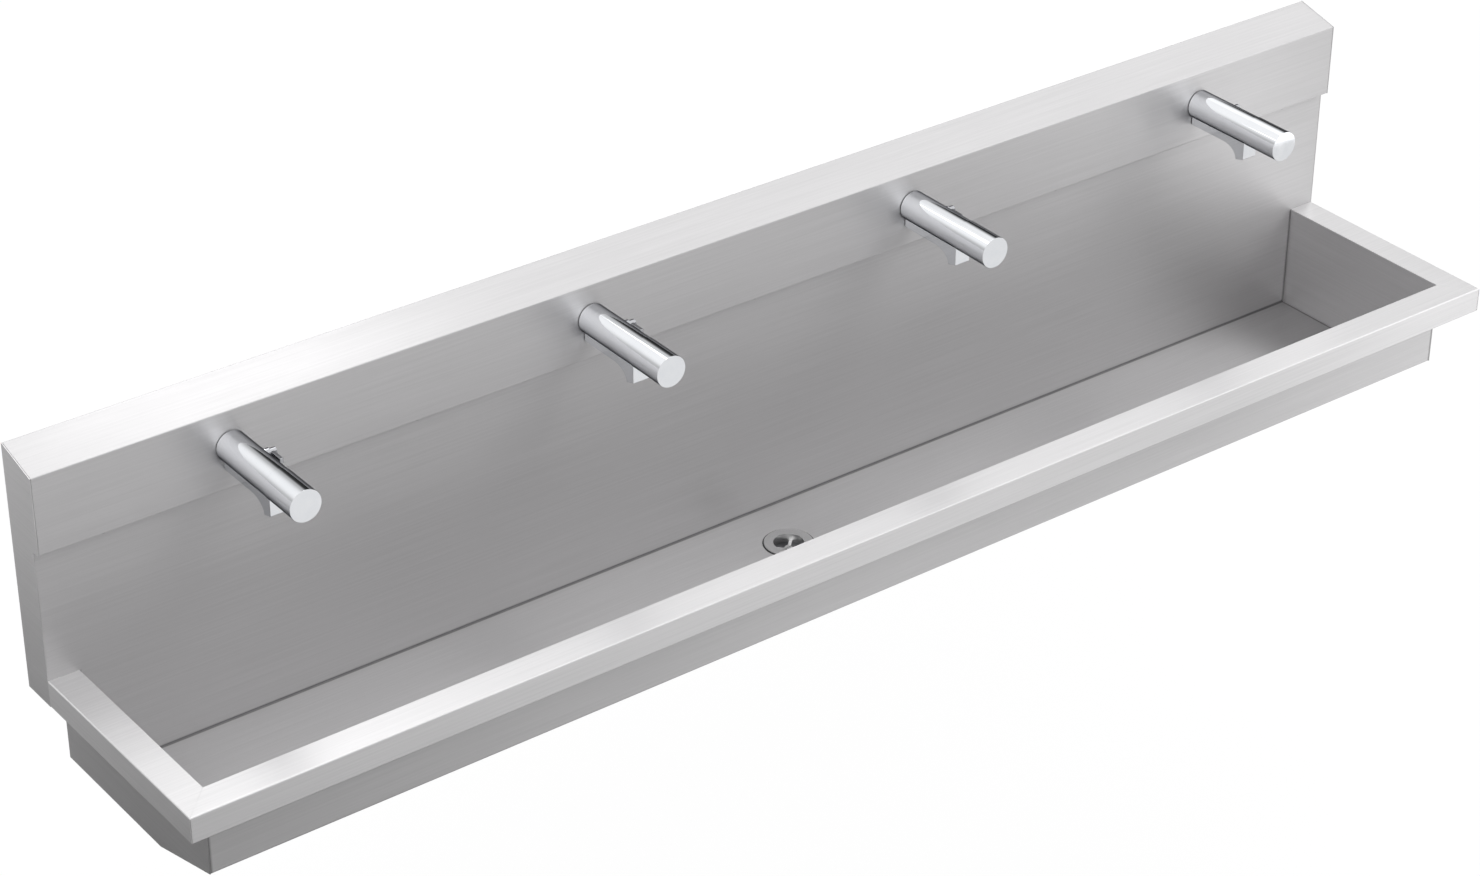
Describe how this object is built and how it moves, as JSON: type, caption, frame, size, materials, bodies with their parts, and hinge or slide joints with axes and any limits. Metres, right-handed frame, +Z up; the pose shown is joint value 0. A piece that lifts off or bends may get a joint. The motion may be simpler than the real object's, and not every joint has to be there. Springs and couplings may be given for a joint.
{
  "type": "trough sink",
  "caption": "Wall-hung folded stainless trough sink with splashback, removable service cover, strainer waste and a row of push-cap mixing taps with side temperature levers.",
  "frame": {"origin": "on the wall plane, in the middle of the width, level with the top of the rim", "axes": "+X along the wall to the right seen from the front, -Y out of the wall, +Z up"},
  "size_m": [2.4, 0.45, 0.6388],
  "materials": {
    "brushed_sheet": "brushed along the trough's length, grain fine",
    "mill_steel": "plain mill finish",
    "pipe_steel": "drawn tube, satin",
    "polished_steel": "polished",
    "tap_chrome": "bright chrome plate",
    "raw_brass": "machined",
    "spring_steel": "drawn wire",
    "hose_braid": "braided wire sleeve",
    "black_rubber": "matte",
    "outlet_plastic": "matte"
  },
  "bodies": {
    "root": {"bowl_sheet": "brushed_sheet", "bowl_end_left": "brushed_sheet", "bowl_end_right": "brushed_sheet", "end_cheek_left": "brushed_sheet", "end_cheek_right": "brushed_sheet", "rim_front": "brushed_sheet", "service_cover": "brushed_sheet", "cover_clips": "mill_steel", "cover_screws": "mill_steel", "wall_rail_top": "mill_steel", "wall_rail_mid": "mill_steel", "housing_ribs": "mill_steel", "support_brackets": "mill_steel", "bracket_pads": "black_rubber", "cold_manifold": "pipe_steel", "hot_manifold": "pipe_steel", "pipe_grommets": "black_rubber", "waste_strainer": "polished_steel", "waste_seal": "black_rubber", "waste_gasket": "black_rubber", "waste_tail": "pipe_steel", "waste_screw": "polished_steel", "tap_gaskets": "black_rubber", "lock_nuts": "raw_brass", "inlet_blocks": "raw_brass", "tap_body_1": "tap_chrome", "tap_body_2": "tap_chrome", "tap_body_3": "tap_chrome", "tap_body_4": "tap_chrome", "cartridge_1": "raw_brass", "cartridge_2": "raw_brass", "cartridge_3": "raw_brass", "cartridge_4": "raw_brass", "return_spring_1": "spring_steel", "return_spring_2": "spring_steel", "return_spring_3": "spring_steel", "return_spring_4": "spring_steel", "aerator_1": "outlet_plastic", "aerator_2": "outlet_plastic", "aerator_3": "outlet_plastic", "aerator_4": "outlet_plastic", "hoses_1": "hose_braid", "hoses_2": "hose_braid", "hoses_3": "hose_braid", "hoses_4": "hose_braid"},
    "push_1": {"push_cap_1": "tap_chrome", "push_rod_1": "polished_steel"},
    "push_2": {"push_cap_2": "tap_chrome", "push_rod_2": "polished_steel"},
    "push_3": {"push_cap_3": "tap_chrome", "push_rod_3": "polished_steel"},
    "push_4": {"push_cap_4": "tap_chrome", "push_rod_4": "polished_steel"},
    "selector_1": {"selector_1": "tap_chrome"},
    "selector_2": {"selector_2": "tap_chrome"},
    "selector_3": {"selector_3": "tap_chrome"},
    "selector_4": {"selector_4": "tap_chrome"}
  },
  "joints": [
    {"name": "push_1", "type": "slide", "parent": "root", "child": "push_1", "axis": [0, 1, 0], "range_m": [0, 0.004], "stiffness_N_per_m": 2000, "springref_m": -0.004, "deforming": ["return_spring_1"]},
    {"name": "push_2", "type": "slide", "parent": "root", "child": "push_2", "axis": [0, 1, 0], "range_m": [0, 0.004], "stiffness_N_per_m": 2000, "springref_m": -0.004, "deforming": ["return_spring_2"]},
    {"name": "push_3", "type": "slide", "parent": "root", "child": "push_3", "axis": [0, 1, 0], "range_m": [0, 0.004], "stiffness_N_per_m": 2000, "springref_m": -0.004, "deforming": ["return_spring_3"]},
    {"name": "push_4", "type": "slide", "parent": "root", "child": "push_4", "axis": [0, 1, 0], "range_m": [0, 0.004], "stiffness_N_per_m": 2000, "springref_m": -0.004, "deforming": ["return_spring_4"]},
    {"name": "turn_1", "type": "hinge", "parent": "root", "child": "selector_1", "pos_m": [-0.8748, -0.125, 0.275], "axis": [1, 0, 0], "range_deg": [-45, 45]},
    {"name": "turn_2", "type": "hinge", "parent": "root", "child": "selector_2", "pos_m": [-0.2748, -0.125, 0.275], "axis": [1, 0, 0], "range_deg": [-45, 45]},
    {"name": "turn_3", "type": "hinge", "parent": "root", "child": "selector_3", "pos_m": [0.3252, -0.125, 0.275], "axis": [1, 0, 0], "range_deg": [-45, 45]},
    {"name": "turn_4", "type": "hinge", "parent": "root", "child": "selector_4", "pos_m": [0.9252, -0.125, 0.275], "axis": [1, 0, 0], "range_deg": [-45, 45]}
  ]
}
